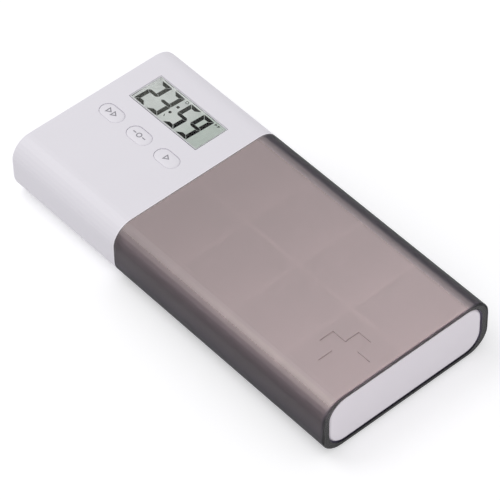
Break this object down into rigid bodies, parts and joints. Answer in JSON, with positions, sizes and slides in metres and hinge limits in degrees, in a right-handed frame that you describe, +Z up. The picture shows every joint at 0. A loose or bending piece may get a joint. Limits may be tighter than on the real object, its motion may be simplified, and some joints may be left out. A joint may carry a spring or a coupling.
{
  "type": "electronic pill organizer",
  "caption": "Pocket pill organizer: a clock head with display and oval keys, a tray of scooped pockets and a smoke sleeve that slides over it as the lid.",
  "frame": {"origin": "centre of the underside, on the face it rests on", "axes": "+X from the clock head to the tray's open end, which is also the reading direction of the digits; +Y towards the long edge beside the display; +Z up"},
  "size_m": [0.142, 0.0654, 0.0212],
  "materials": {
    "white_abs": "moulded white ABS, fine satin",
    "key_abs": "moulded white ABS, satin",
    "tray_abs": "moulded off-white ABS",
    "smoke_plastic": "smoke-tinted clear plastic, polished outside and hazed inside",
    "clear_plastic": "clear polished plastic",
    "lcd_glass": "grey-green display under a matt film",
    "strip_rubber": "striped contact rubber",
    "board_green": "green solder resist",
    "black_plastic": "moulded black plastic",
    "plated_steel": "nickel-plated steel",
    "cell_jacket": "printed steel cell jacket, left plain"
  },
  "bodies": {
    "case": {"head_shell": "white_abs", "head_base": "white_abs", "tray": "tray_abs", "lcd_lens": "clear_plastic", "lcd_panel": "lcd_glass", "lcd_holder": "white_abs", "contact_strip": "strip_rubber", "main_board": "board_green", "hour_switch": "black_plastic", "mode_switch": "black_plastic", "minute_switch": "black_plastic", "buzzer": "black_plastic", "clock_chip": "black_plastic", "crystal": "plated_steel", "cell_far": "cell_jacket", "cell_near": "cell_jacket", "contact_plus": "plated_steel", "contact_minus": "plated_steel", "contact_bridge": "plated_steel", "spring_far": "plated_steel", "spring_near": "plated_steel", "case_screw_left": "plated_steel", "case_screw_right": "plated_steel", "tray_screw_left": "plated_steel", "tray_screw_right": "plated_steel", "board_screw_left": "plated_steel", "board_screw_right": "plated_steel"},
    "sleeve": {"sleeve": "smoke_plastic"},
    "hour_button": {"hour_key": "key_abs", "hour_plunger": "black_plastic"},
    "mode_button": {"mode_key": "key_abs", "mode_plunger": "black_plastic"},
    "minute_button": {"minute_key": "key_abs", "minute_plunger": "black_plastic"},
    "battery_cover": {"battery_door": "white_abs"}
  },
  "joints": [
    {"name": "sleeve_slide", "type": "slide", "parent": "case", "child": "sleeve", "axis": [1, 0, 0], "range_m": [0, 0.095]},
    {"name": "hour_press", "type": "slide", "parent": "case", "child": "hour_button", "axis": [0, 0, -1], "range_m": [0, 0.0003], "stiffness_N_per_m": 4000},
    {"name": "mode_press", "type": "slide", "parent": "case", "child": "mode_button", "axis": [0, 0, -1], "range_m": [0, 0.0003], "stiffness_N_per_m": 4000},
    {"name": "minute_press", "type": "slide", "parent": "case", "child": "minute_button", "axis": [0, 0, -1], "range_m": [0, 0.0003], "stiffness_N_per_m": 4000},
    {"name": "battery_door_hinge", "type": "hinge", "parent": "case", "child": "battery_cover", "pos_m": [-0.0461, 0, 0.0002], "axis": [0, -1, 0], "range_deg": [0, 75]}
  ]
}
